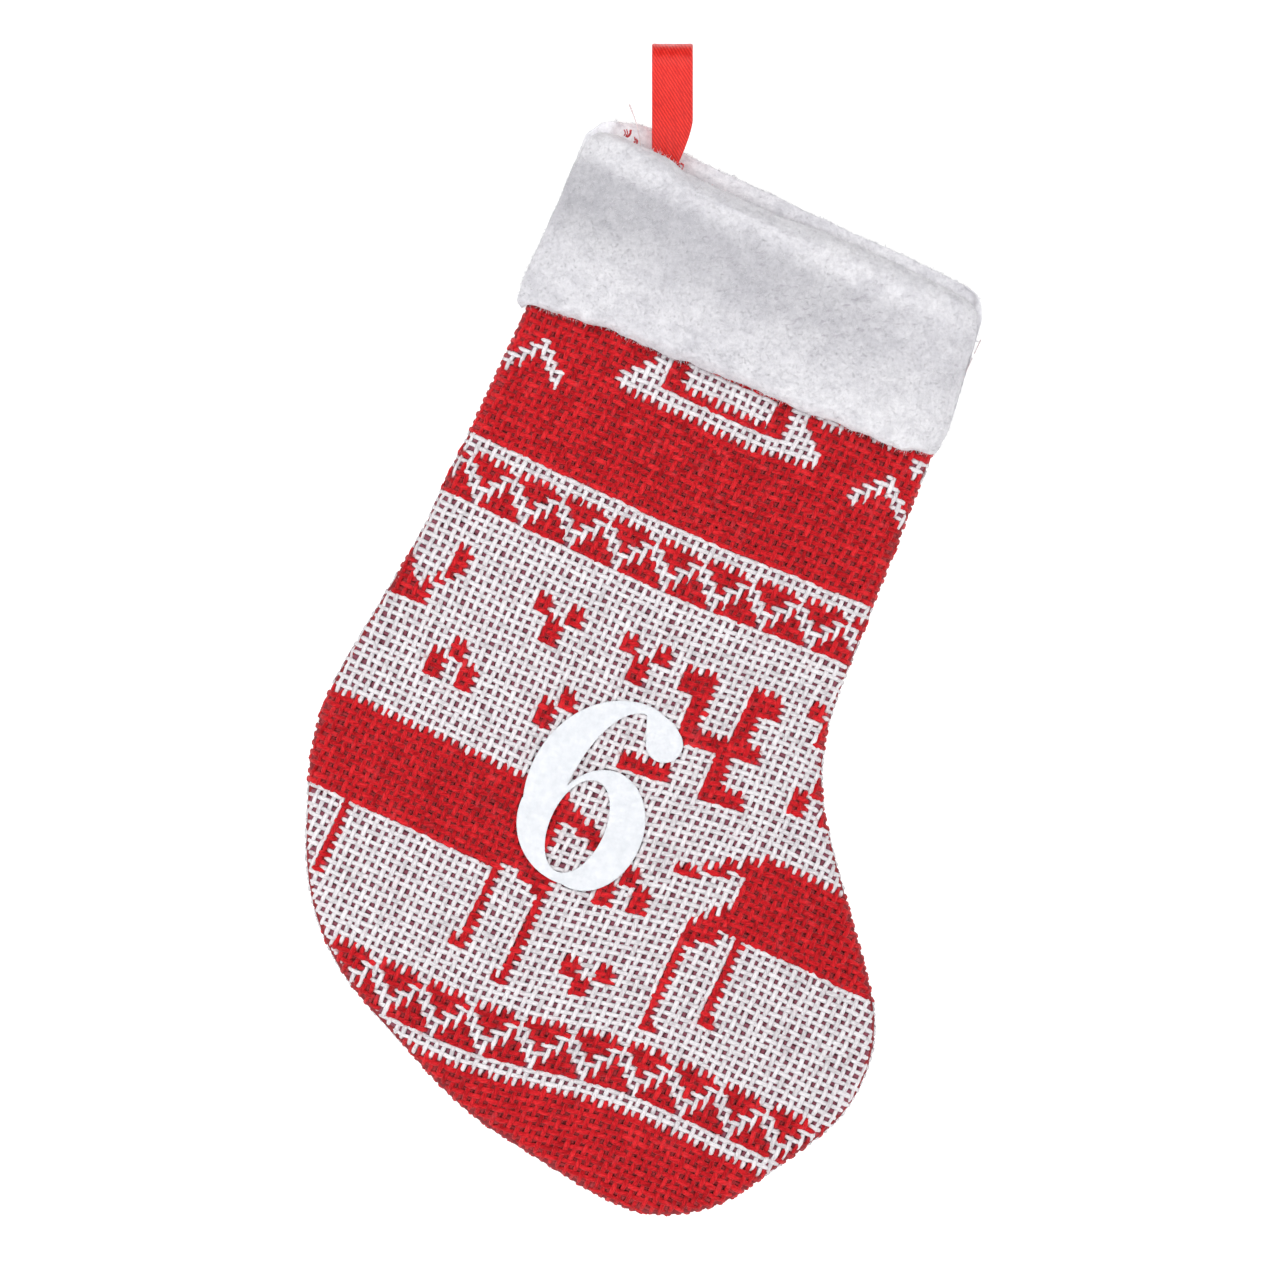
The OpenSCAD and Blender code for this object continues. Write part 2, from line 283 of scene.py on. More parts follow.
def tubes(name, lines, sides):
    """One mesh of closed tubes. A line is (centres, widths, heights), the last two as radius vectors."""
    angles = 2 * np.pi * np.arange(sides) / sides
    points, quads, caps, strips = [], [], [], []
    start = 0
    for centres, widths, heights in lines:
        count = len(centres)
        ring = (centres[:, None] + np.cos(angles)[None, :, None] * widths[:, None]
                + np.sin(angles)[None, :, None] * heights[:, None])
        points.append(ring.reshape(-1, 3))
        r, s = np.meshgrid(np.arange(count - 1), np.arange(sides), indexing="ij")
        n = (s + 1) % sides
        quad = np.stack([r * sides + s, r * sides + n, (r + 1) * sides + n, (r + 1) * sides + s], -1)
        quads.append(quad.reshape(-1, 4) + start)
        caps.append((np.arange(sides)[::-1] + start).tolist())
        caps.append((np.arange(sides) + start + (count - 1) * sides).tolist())
        strips.append((r.ravel(), s.ravel(), count))
        start += count * sides
    piece = new_object(name, np.concatenate(points), np.concatenate(quads).tolist() + caps)
    lay_bake_strips(piece.data, strips, sides)
    return piece


def lay_bake_strips(mesh, strips, sides):
    """Lays the tubes side by side as strips in a UV layer for baking."""
    longest = max(count for _, _, count in strips)
    per_column = max(1, int(math.sqrt(len(strips) * sides / longest)))
    columns = math.ceil(len(strips) / per_column)
    column_w = 1 / columns
    strip_h = 1 / per_column
    uvs, cap_uvs = [], []
    margin, end_margin = 0.1, 0.02
    for index, (r, s, count) in enumerate(strips):
        column, place = divmod(index, per_column)
        x0 = (column + margin) * column_w
        y0 = (place + end_margin) * strip_h
        dx = column_w * (1 - 2 * margin) / sides
        dy = strip_h * (1 - 2 * end_margin) / (count - 1)
        x, y = x0 + s * dx, y0 + r * dy
        corner = np.stack([
            np.stack([x, y], -1), np.stack([x + dx, y], -1),
            np.stack([x + dx, y + dy], -1), np.stack([x, y + dy], -1),
        ], 1)
        uvs.append(corner.reshape(-1, 2))
        for end_y in (y0, y0 + dy * (count - 1)):
            cap_uvs.append(np.stack([x0 + dx * np.arange(sides), np.full(sides, end_y)], -1))
    layer = mesh.uv_layers.new(name="OFBake")
    layer.data.foreach_set("uv", np.concatenate(uvs + cap_uvs).ravel())


def tag(piece, name, values):
    """Stores a value for each vertex, which a material reads by the same name."""
    attribute = piece.data.attributes.new(name, "FLOAT", "POINT")
    attribute.data.foreach_set("value", np.asarray(values, float))


class Nodes:
    """A principled material and short calls to build its node graph."""

    def __init__(self, name, roughness=0.8, **inputs):
        self.material = bpy.data.materials.new(name)
        self.material.use_nodes = True
        self.tree = self.material.node_tree
        self.shader = self.tree.nodes["Principled BSDF"]
        self.shader.inputs["Roughness"].default_value = roughness
        for key, value in inputs.items():
            self.shader.inputs[key.replace("_", " ")].default_value = value
        self.place = self.add("ShaderNodeTexCoord").outputs["Object"]

    def add(self, kind, values=None, **settings):
        node = self.tree.nodes.new(kind)
        for key, value in settings.items():
            setattr(node, key, value)
        for key, value in (values or {}).items():
            self.feed(node.inputs[key], value)
        return node

    def feed(self, socket, value):
        """Links another node's output to a socket, or sets the socket to a plain value."""
        if hasattr(value, "is_output"):
            self.tree.links.new(value, socket)
        else:
            socket.default_value = value

    def noise(self, scale, detail=3, roughness=0.6, stretch=(1, 1, 1), turn=(0, 0, 0)):
        """Noise in the frame's own space; scale counts features per metre."""
        mapping = self.add("ShaderNodeMapping", {"Vector": self.place, "Scale": stretch, "Rotation": turn})
        return self.add("ShaderNodeTexNoise", {
            "Vector": mapping.outputs["Vector"], "Scale": scale, "Detail": detail, "Roughness": roughness,
        }).outputs["Fac"]

    def ramp(self, value, *stops):
        """Colours between stops of (position, colour), where a single number stands for a grey."""
        node = self.add("ShaderNodeValToRGB", {"Fac": value})
        elements = node.color_ramp.elements
        while len(elements) < len(stops):
            elements.new(0.5)
        for element, (position, colour) in zip(elements, stops):
            element.position = position
            element.color = (*colour, 1) if isinstance(colour, tuple) else (colour, colour, colour, 1)
        return node.outputs["Color"]

    def blend(self, factor, a, b, mode="MIX"):
        node = self.add("ShaderNodeMix", data_type="RGBA", blend_type=mode)
        for socket, value in ((node.inputs[0], factor), (node.inputs[6], a), (node.inputs[7], b)):
            self.feed(socket, (*value, 1) if isinstance(value, tuple) else value)
        return node.outputs[2]

    def maths(self, operation, a, b):
        return self.add("ShaderNodeMath", {0: a, 1: b}, operation=operation).outputs[0]

    def read(self, tag_name):
        return self.add("ShaderNodeAttribute", attribute_name=tag_name).outputs["Fac"]

    def colour(self, socket):
        self.tree.links.new(socket, self.shader.inputs["Base Color"])

    def rough(self, socket):
        self.tree.links.new(socket, self.shader.inputs["Roughness"])

    def bump(self, height, distance, strength=0.6):
        node = self.add("ShaderNodeBump", {"Height": height, "Distance": distance, "Strength": strength})
        self.tree.links.new(node.outputs["Normal"], self.shader.inputs["Normal"])


def dress(piece, material, slot, *nodes, body="stocking"):
    """Gives a piece its material and the body it rides on, and hides the CAD nodes it stands for. The slot is
    not used.
    """
    piece.data.materials.append(material)
    if body:
        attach(piece, body)
    if nodes:
        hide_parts(*nodes)


# ---- The weaver's chart: which layer, pale or red, lies on the face at each yarn and pick ----

PITCH = 1.27
CHART_LEFT = -18
CHART_COLUMNS = 96
CHART_RIGHT = CHART_LEFT + CHART_COLUMNS - 1
CHART_PICKS = 118

TOP_LINE, BOTTOM_LINE = (38, 39), (102, 103)
ZIGZAG_PERIOD = 6
ZIGZAG_BANDS = ((-1, 40), (2, 97))
PALE_GROUND = (45, 96)

ZIGZAG = """
...#..
..###.
.##.##
##...#
#.....
""".split()
TREE = """
...#...
..###..
.##.##.
##...##
#.....#
""".split()
TWO_OVER_ONE = """
##..##
##..##
..##..
..##..
..##..
""".split()
ONE_OVER_TWO = """
..##..
..##..
##..##
##..##
##..##
""".split()
TRAY = """
...##...............##...
...##..###########..##...
...##..###########..##...
..###..###########..###..
.####...............####.
#########################
#########################
""".split()
ANTLERS = """
####....####
####....####
####....####
..##....##..
..##....##..
..##....##..
..##....##..
..##########
..##########
.......##...
.......##...
.......##...
.......##...
.......#####
.......#####
""".split()
SPRAY = """
......##
......##
......##
##....#.
##...#..
.##.#...
.####...
.####...
""".split()


class Chart:
    def __init__(self):
        self.pale = np.zeros((CHART_PICKS, CHART_COLUMNS), bool)
        for top, bottom in (TOP_LINE, BOTTOM_LINE, PALE_GROUND):
            self.fill(CHART_LEFT, CHART_RIGHT, top, bottom, True)
        for peak, band in ZIGZAG_BANDS:
            first = peak - 3 * ZIGZAG_PERIOD - ZIGZAG_PERIOD // 2
            for column in range(first, CHART_RIGHT + 1, ZIGZAG_PERIOD):
                self.paint(ZIGZAG, column, band, True)
        self.sky()
        self.field()

    def fill(self, first, last, top, bottom, pale=False):
        first, last = max(first, CHART_LEFT), min(last, CHART_RIGHT)
        if first <= last:
            self.pale[top:bottom + 1, first - CHART_LEFT:last + 1 - CHART_LEFT] = pale

    def paint(self, rows, column, pick, pale=False):
        for down, row in enumerate(rows):
            for along, mark in enumerate(row):
                if mark == "#":
                    self.fill(column + along, column + along, pick + down, pick + down, pale)

    def sky(self):
        """Pale motifs on the red top."""
        for motif, column, pick in ((TREE, -8, 24), (TREE, 35, 23), (TRAY, 5, 19)):
            self.paint(motif, column, pick, True)
        for first, last, top, bottom in ((28, 30, 20, 20), (34, 36, 19, 19), (40, 41, 20, 21)):
            self.fill(first, last, top, bottom, True)

    def field(self):
        """Red motifs on the pale ground: two deer back to back and the small figures round them."""
        self.paint(SPRAY, -9, 50)
        for column in (8, 19, 42):
            self.paint(TWO_OVER_ONE, column, 51)
        self.paint(TWO_OVER_ONE[:4], 28, 89)
        for column, pick in ((-1, 60), (13, 60), (44, 60), (28, 77)):
            self.paint(ONE_OVER_TWO, column, pick)
        self.paint(ANTLERS, 27, 52)
        self.fill(24, 29, 64, 65)
        self.left_deer()
        self.right_deer()

    def left_deer(self):
        self.fill(CHART_LEFT, 16, 71, 81)
        self.fill(17, 20, 71, 80)
        self.fill(19, 22, 80, 81)
        for step in range(4):
            self.fill(19 + 2 * step, 20 + 2 * step, 71 + step, 72 + step)
        self.leg(-3, 81, 90)
        self.leg(16, 82, 91, foot=15)
        self.leg(22, 82, 93, foot=21)
        self.fill(21, 21, 82, 82)

    def right_deer(self):
        self.fill(44, CHART_RIGHT, 71, 80)
        self.fill(42, 43, 72, 73)
        self.fill(43, 43, 74, 80)
        for first, last, pick in ((40, 41, 73), (38, 40, 74), (35, 37, 75)):
            self.fill(first, last, pick, pick)
        for step in range(3):
            self.fill(42 - step, 42, 78 + step, 80)
        self.fill(39, 42, 81, 82)
        self.fill(40, 40, 83, 83)
        self.leg(39, 83, 94, foot=40)
        self.leg(45, 81, 91, foot=46)

    def leg(self, column, top, bottom, foot=None):
        """A leg one yarn wide, and its foot one yarn to the side on the last pick."""
        self.fill(column, column, top, bottom)
        if foot:
            self.fill(foot, foot, bottom, bottom)


CHART = Chart().pale


def pick_height(pick, column):
    """Where a pick lies down the leg, in pitches. The cloth is pulled up towards the toe side."""
    pull = 0.9 + 0.2 * smooth((pick - 20) / 18) + 2.2 * smooth((pick - 38) / 32)
    pull = pull + 0.4 * smooth((pick - 70) / 27)
    low = smooth((pick - 27) / 11)
    slack = 0.5 * smooth((pick - 40) / 6) + 0.7 * smooth((pick - 96) / 6) - 0.1 * low
    slack = slack + 0.5 * (1 - low) * smooth((4 - column) / 10)
    return pick + slack - pull * smooth((column - mix(21, 18, low)) / mix(9, 26, low))


def warp_drift(column, height):
    """How far the warps lie to the toe side of their numbered places: the cloth was cut slightly askew."""
    return (0.5 - 0.72 * smooth((height - 22) / 29) + 0.42 * smooth((height - 52) / 14)
            + 0.22 * smooth((3 - column) / 9))


def pick_at(column, height):
    """The pick at a height, found by closing in on pick_height."""
    pick = np.asarray(height, float)
    for _ in range(5):
        pick = pick + (height - pick_height(pick, column))
    return pick


# ---- Yarns ----

LAYER_TOP, LAYER_BOTTOM = -0.2, -0.66


class Yarn:
    """One family of yarns: flattened radii, weave relief and how far it reaches past its own cells."""

    def __init__(self, half_w, half_h, relief, before, after):
        self.half_w, self.half_h, self.relief = half_w, half_h, relief
        self.before, self.after = before, after


# In each cell the red warp lies to the heel side of the pale one and the red weft below the pale one.
RED_WARP_OFFSET, RED_WEFT_OFFSET = -0.4, 0.5
CELL_START = {True: -0.25, False: -0.75}

PALE_WARP = Yarn(0.36, 0.19, 0.16, before=0.0, after=0.35)
PALE_WEFT = Yarn(0.34, 0.19, 0.16, before=0.2, after=-0.1)
RED_WARP = Yarn(0.38, 0.23, 0.17, before=0.5, after=0.05)
RED_WEFT = Yarn(0.41, 0.23, 0.17, before=0.1, after=0.25)

RINGS_PER_PITCH = 3
SHORTEST_YARN = 0.8
YARN_SIDES = 6


def wander(rng, s, size, wave):
    """A slow random wave along s, about size high."""
    total = 0
    for k in (1, 1.9, 3.3):
        height = math.cos(rng.uniform(0, 6.3)) / k
        total = total + height * np.sin(s * k * 2 * np.pi / wave + rng.uniform(0, 6.3))
    return size * total


def stretches(flags):
    """Where each stretch of true flags begins, and where the false ones after it begin."""
    changes = np.flatnonzero(np.diff(np.concatenate([[False], flags, [False]]).astype(int)))
    return list(zip(changes[::2], changes[1::2]))


def on_face(cells, s, before, after):
    """How much a yarn is on the face at s. Cell k runs from k to k + 1; before and after stretch a run."""
    ramp = 0.45
    best = np.zeros_like(s)
    for a, b in stretches(cells):
        rise = smooth((s - (a - before)) / ramp + 0.5)
        fall = 1 - smooth((s - (b + after)) / ramp + 0.5)
        best = np.maximum(best, rise * fall)
    return best


def yarn_line(panel, rng, yarn, across, down, s, cells, phase, start):
    """Centres, width and height directions of one yarn in world space, its tones and how buried it is."""
    early = yarn.before + rng.uniform(-0.12, 0.12)
    late = yarn.after + rng.uniform(-0.3, 0.3)
    face = on_face(cells, s - start, early, late)
    gap = panel.gap(across, down)
    squeeze = smooth(gap / 2.5)
    depth = mix(LAYER_BOTTOM, LAYER_TOP, face) * mix(0.45, 1, squeeze)
    relief = yarn.relief * np.cos(np.pi * (s + phase)) * mix(0.4, 1, squeeze)
    normal = panel.normal(across, down)
    base = np.stack([across, down, panel.face(across, down)], -1)
    centre = base + normal * (depth + relief)[:, None]
    tuck = smooth(gap / 0.7)
    centre[:, 2] = mix(0.12, np.maximum(centre[:, 2], 0.12), tuck)
    step = unit(np.gradient(centre, axis=0))
    side = unit(np.cross(normal, step))
    height = np.cross(step, side)
    fat = 1 + wander(rng, s, 0.10, 7)
    dive = 1 - 0.35 * np.clip(4 * face * (1 - face), 0, 1)
    width = side * (yarn.half_w * fat * dive)[:, None]
    height = height * (yarn.half_h * fat)[:, None]
    tone = rng.uniform(-0.2, 0.2) + wander(rng, s, 0.3, 6)
    return [to_world(panel, centre), turn(panel, width), turn(panel, height)], tone, 1 - face


def turn(panel, vectors):
    """Cloth directions in millimetres as world directions in metres."""
    return MM * (vectors[:, :1] * ACROSS - vectors[:, 1:2] * UP
                 - panel.side * vectors[:, 2:] * np.array([0, 1, 0]))


def to_world(panel, points):
    return world(points[:, 0], points[:, 1], panel.side * points[:, 2])


def lay_family(panel, name, yarn, along_down, pale, seed):
    """All the yarns of one family on one panel: warps run down the leg, wefts across it."""
    rng = random.Random(seed)
    red_offset = RED_WARP_OFFSET if along_down else RED_WEFT_OFFSET
    offset = 0 if pale else red_offset
    crossing_offset = 0 if pale else RED_WEFT_OFFSET if along_down else RED_WARP_OFFSET
    lines, tones, depths = [], [], []
    fine = 0.08
    count = CHART_COLUMNS if along_down else CHART_PICKS
    first = CHART_LEFT if along_down else 0
    for index in range(first, first + count):
        drift = wander(rng, 0.0, 0.05, 1) + rng.uniform(-0.04, 0.04)
        if along_down:
            height = np.arange(panel.top / PITCH, panel.bottom / PITCH, fine)
            place = index + offset
            column = place + warp_drift(place, height) + drift + wander(rng, height, 0.09, 11)
            s = pick_at(column, height)
            cells = CHART[:, index - CHART_LEFT]
        else:
            column = np.arange(-14, 80, fine)
            height = pick_height(index + offset + drift, column) + wander(rng, column, 0.10, 11)
            s = column - warp_drift(column, height)
            cells = CHART[index]
        for a, b in stretches(panel.inside(column * PITCH, height * PITCH)):
            length = (b - 1 - a) * fine
            if length < SHORTEST_YARN:
                continue
            at = np.linspace(a, b - 1, max(4, round(length * RINGS_PER_PITCH)))
            x, y, along = (np.interp(at, np.arange(a, b), v[a:b]) for v in (column, height, s))
            phase = index + (0 if along_down else 1) - crossing_offset
            start = CELL_START[along_down] + (0 if along_down else CHART_LEFT)
            shown = cells if pale else ~cells
            line, tone, depth = yarn_line(panel, rng, yarn, x * PITCH, y * PITCH, along, shown, phase, start)
            lines.append(line)
            tones.append(np.repeat(tone, YARN_SIDES))
            depths.append(np.repeat(depth, YARN_SIDES))
    piece = tubes(name, lines, YARN_SIDES)
    tag(piece, "tone", np.concatenate(tones))
    tag(piece, "buried", np.concatenate(depths))
    return piece


def yarn_material(name, dark, mid, light, stain, veil_and_shade, along_down):
    """Spun yarn: its colour drifts, fibres of the other colour stain it, and where buried it takes a darker
    colour, a fibre veil with painted shade of its gap.
    """
    look = Nodes(name, roughness=0.9, Sheen_Weight=0.08, Specular_IOR_Level=0.15)
    turn_y = math.atan2(UP[0], UP[2])
    stretch = (2.2, 2.2, 0.6) if along_down else (0.6, 2.2, 2.2)
    grain = look.noise(1500, 3, 0.7, stretch, (0, -turn_y, 0))
    tone = look.read("tone")
    level = look.maths("ADD", look.maths("MULTIPLY", tone, 0.28), grain)
    base = look.ramp(level, (0.3, dark), (0.5, mid), (0.72, light))
    fuzz = look.noise(420, 4, 0.65)
    stained = look.ramp(fuzz, (0.58, 0), (0.78, 0.35))
    face = look.blend(stained, base, stain)
    buried = look.read("buried")
    # Buried parts take the darker colour: partly a fibre veil, partly painted shade of the gap they lie in.
    look.colour(look.blend(look.maths("MULTIPLY", buried, 0.96), face, veil_and_shade))
    look.bump(grain, 0.00012, 0.8)
    return look.material


def weave():
    # Each family: dark, mid and light tone, stain, and the dark colour of buried yarn, which is a fibre veil
    # with painted shade.
    red = ((0.27, 0.001, 0.004), (0.50, 0.006, 0.012), (0.71, 0.020, 0.026),
           (0.62, 0.09, 0.11), (0.23, 0.07, 0.10))
    pale = ((0.52, 0.49, 0.51), (0.71, 0.68, 0.70), (0.82, 0.80, 0.82),
            (0.66, 0.42, 0.46), (0.34, 0.004, 0.009))
    families = [
        ("pale_warp", PALE_WARP, pale, True), ("pale_weft", PALE_WEFT, pale, False),
        ("red_warp", RED_WARP, red, True), ("red_weft", RED_WEFT, red, False),
    ]
    looks = [yarn_material(kind + "_yarn", *colours, along_down) for kind, _, colours, along_down in families]
    seed = 10
    for side, panel in PANELS.items():
        for (kind, yarn, colours, along_down), look in zip(families, looks):
            seed += 1
            piece = lay_family(panel, f"{SIDE_NAMES[side]}_{kind}", yarn, along_down, colours is pale, seed)
            dress(piece, look, "woven_cloth", SIDE_NAMES[side] + "_panel")


def cloth_core(side):
    """Felted fuzz on the inner face of the double cloth, which closes the last gaps between its yarns; its
    dark red is painted shade seen through those gaps.
    """
    panel = PANELS[side]
    rows, columns = 120, 70
    downs = mix(panel.top + 0.2, panel.bottom - 0.3, np.sin(np.linspace(0, np.pi / 2, rows)))
    shares = (1 - np.cos(np.linspace(0, np.pi, columns))) / 2
    heel, toe = panel.edges(downs)
    across = mix((heel + 0.25)[:, None], (toe - 0.25)[:, None], shares[None])
    down = np.repeat(downs[:, None], columns, 1)
    outer = panel.face(across, down)
    squeeze = smooth(panel.gap(across, down) / 2.5)
    top = np.maximum(outer - mix(0.45, 0.92, squeeze), 0.2)
    bottom = np.maximum(top - 0.12, 0.1)
    points = np.concatenate([
        world(across, down, panel.side * top).reshape(-1, 3),
        world(across, down, panel.side * bottom).reshape(-1, 3),
    ])
    faces = closed_sheet_faces(rows, columns, flip=side == BACK)
    piece = new_object(SIDE_NAMES[side] + "_cloth_core", points, faces)
    look = Nodes("dark_core_painted_shade", roughness=0.95)
    # Painted shade: the core is coloured darker than the red yarn so that the gaps read as shaded.
    look.colour(look.ramp(look.noise(900, 4, 0.7), (0.3, (0.15, 0.005, 0.009)), (0.7, (0.32, 0.018, 0.026))))
    look.bump(look.noise(2500, 3), 0.0001, 0.7)
    dress(piece, look.material, "woven_cloth")


def closed_sheet_faces(rows, columns, flip=False):
    """Quads of a closed sheet made of two grids of points, the outer one first."""
    r, c = np.meshgrid(np.arange(rows - 1), np.arange(columns - 1), indexing="ij")
    a = (r * columns + c).ravel()
    quad = np.stack([a, a + 1, a + 1 + columns, a + columns], -1)
    half = rows * columns
    edge = np.concatenate([
        np.arange(columns), columns - 1 + columns * np.arange(1, rows),
        (rows - 1) * columns + np.arange(columns - 2, -1, -1), columns * np.arange(rows - 2, 0, -1),
    ])
    after = np.roll(edge, -1)
    walls = np.stack([after, edge, edge + half, after + half], -1)
    faces = np.concatenate([quad, quad[:, ::-1] + half, walls])
    return faces[:, ::-1] if flip else faces


weave()
cloth_core(FRONT)
cloth_core(BACK)


# ---- Numeral: a thin pressed-on film that shows the weave through ----

FILM_LIFT, FILM_T, FILM_RELIEF = 0.20, 0.10, 0.11


def outline_edges(node):
    """Edges round the outward face of a CAD node, as pairs of [across, down] points."""
    mesh = NODES[node].data
    points = node_points(node)
    seen = {}
    for polygon in mesh.polygons:
        corners = list(polygon.vertices)
        flat = points[corners][:, :2]
        x, y = flat[:, 0], flat[:, 1]
        area = (x * np.roll(y, -1) - y * np.roll(x, -1)).sum() / 2
        if area > -1e-5:
            continue
        for a, b in zip(corners, corners[1:] + corners[:1]):
            ends = tuple(sorted((tuple(points[a][:2].round(3)), tuple(points[b][:2].round(3)))))
            seen[ends] = seen.get(ends, 0) + 1
    return [ends for ends, count in seen.items() if count == 1]


def in_outline(point, edges):
    """Whether a line to the right of the point crosses the outline an odd number of times."""
    hits = 0
    for a, b in edges:
        if (a[1] > point[1]) != (b[1] > point[1]):
            hits += point[0] < a[0] + (b[0] - a[0]) * (point[1] - a[1]) / (b[1] - a[1])
    return hits % 2 == 1


def film():
    panel = PANELS[FRONT]
    edges = outline_edges("number_film")
    corners = sorted({point for ends in edges for point in ends})
    index = {point: i for i, point in enumerate(corners)}
    step = 0.32
    low, high = np.min(corners, 0), np.max(corners, 0)
    inner = [(x, y) for x in np.arange(low[0], high[0], step) for y in np.arange(low[1], high[1], step)
             if in_outline((x, y), edges)]
    flat = [Vector(point) for point in corners + inner]
    result = geometry.delaunay_2d_cdt(flat, [(index[a], index[b]) for a, b in edges], [], 0, 1e-4)
    spots = np.array([tuple(v) for v in result[0]])
    faces = [f for f in result[2] if in_outline(spots[list(f)].mean(0), edges)]
    column, height = spots[:, 0] / PITCH, spots[:, 1] / PITCH
    pick = pick_at(column, height)
    weave_relief = FILM_RELIEF * (np.cos(2 * np.pi * column) + np.cos(2 * np.pi * pick)) / 2
    top = panel.face(spots[:, 0], spots[:, 1]) + FILM_LIFT + weave_relief + FILM_T
    points = np.concatenate([
        world(spots[:, 0], spots[:, 1], top),
        world(spots[:, 0], spots[:, 1], top - FILM_T),
    ])
    count = len(spots)
    used = {}
    for f in faces:
        for a, b in zip(f, f[1:] + f[:1]):
            used[frozenset((a, b))] = (a, b) if frozenset((a, b)) not in used else None
    walls = [(b, a, a + count, b + count) for a, b in filter(None, used.values())]
    flipped = [tuple(i + count for i in reversed(f)) for f in faces]
    piece = new_object("number_film_visual", points, [tuple(f) for f in faces] + flipped + walls)
    clean(piece)
    look = Nodes("film", roughness=0.42, Specular_IOR_Level=0.3)
    shade = look.noise(700, 3, 0.6)
    look.colour(look.ramp(shade, (0.3, (0.66, 0.685, 0.72)), (0.7, (0.755, 0.77, 0.805))))
    look.rough(look.ramp(look.noise(1800, 2), (0.3, 0.34), (0.7, 0.55)))
    look.bump(look.noise(2600, 3), 0.00004, 0.6)
    dress(piece, look.material, "film", "number_film")


def clean(piece):
    """Welds double points, drops loose ones, turns all faces outward and smooths the shading."""
    shape = bmesh.new()
    shape.from_mesh(piece.data)
    bmesh.ops.remove_doubles(shape, verts=shape.verts, dist=1e-7)
    loose = [v for v in shape.verts if not v.link_faces]
    bmesh.ops.delete(shape, geom=loose, context="VERTS")
    bmesh.ops.recalc_face_normals(shape, faces=shape.faces)
    shape.to_mesh(piece.data)
    shape.free()
    piece.data.shade_smooth()


# ---- Fleece cuffs ----

FLEECE_SWELL = 0.15
FLEECE_STEP = 0.4
SIM_SCALE = 10
SIM_FRAMES = 14
PUFF_PRESSURE = 3.0
PUFF_LIMIT = 0.7
TUFTS = ((14, 0.20), (3.6, 0.15), (1.5, 0.10), (0.7, 0.06))
HEM_WAVES = ((7, 0.45), (2.6, 0.3))
FIBRES = 15000


def set_points(piece, points):
    piece.data.vertices.foreach_set("co", np.asarray(points, float).ravel())
    piece.data.update()


def settle(piece):
    """Bakes a piece's modifiers into its mesh."""
    shown = piece.evaluated_get(bpy.context.evaluated_depsgraph_get())
    mesh = bpy.data.meshes.new_from_object(shown)
    piece.modifiers.clear()
    old = piece.data
    piece.data = mesh
    bpy.data.meshes.remove(old)


def puff(piece):
    """Swells a piece as filled cloth, and holds each point to within PUFF_LIMIT of where it began."""
    rest = vectors(piece.data.vertices)
    set_points(piece, rest * SIM_SCALE)
    cloth_sim = piece.modifiers.new("puff", "CLOTH")
    settings = cloth_sim.settings
    settings.quality = 4
    settings.mass = 0.15
    settings.use_pressure = True
    settings.uniform_pressure_force = PUFF_PRESSURE
    settings.effector_weights.gravity = 0
    settings.tension_stiffness = settings.compression_stiffness = 10
    settings.bending_stiffness = 0.4
    cloth_sim.collision_settings.use_collision = False
    cloth_sim.point_cache.frame_end = SIM_FRAMES
    scene = bpy.context.scene
    for step in range(1, SIM_FRAMES + 1):
        scene.frame_set(step)
    settle(piece)
    scene.frame_set(1)
    moved = vectors(piece.data.vertices) / SIM_SCALE - rest
    far = np.linalg.norm(moved, axis=1, keepdims=True)
    limit = PUFF_LIMIT * MM
    set_points(piece, rest + moved * np.minimum(1, limit / np.maximum(far, 1e-9)))


def lumps(points, sizes):
    """Soft random heights at points, in millimetres. sizes holds pairs of (wavelength, height)."""
    heights = np.zeros(len(points))
    for wave, height in sizes:
        heights += height * np.array([noise.noise(Vector(p)) for p in (points / (wave * MM)).tolist()])
    return heights


def cuff(side):
    """Brushed fleece folded over the mouth: the CAD form puffed as cloth, then given a tufted surface."""
    node = SIDE_NAMES[side] + "_cuff"
    piece = link(node + "_fleece", NODES[node].data.copy())
    piece.data.materials.clear()
    clean(piece)
    swollen = vectors(piece.data.vertices) + vectors(piece.data.vertex_normals, "vector") * FLEECE_SWELL * MM
    set_points(piece, swollen)
    remesh = piece.modifiers.new("even", "REMESH")
    remesh.mode = "VOXEL"
    remesh.voxel_size = FLEECE_STEP * MM
    settle(piece)
    puff(piece)
    piece.modifiers.new("subdivide", "SUBSURF").levels = 1
    settle(piece)
    shape_fleece(piece, side)
    piece.data.shade_smooth()
    dress(piece, FLEECE, "fleece", node)
    fuzz(piece, SIDE_NAMES[side] + "_cuff_pile", 30 + side, FIBRES)


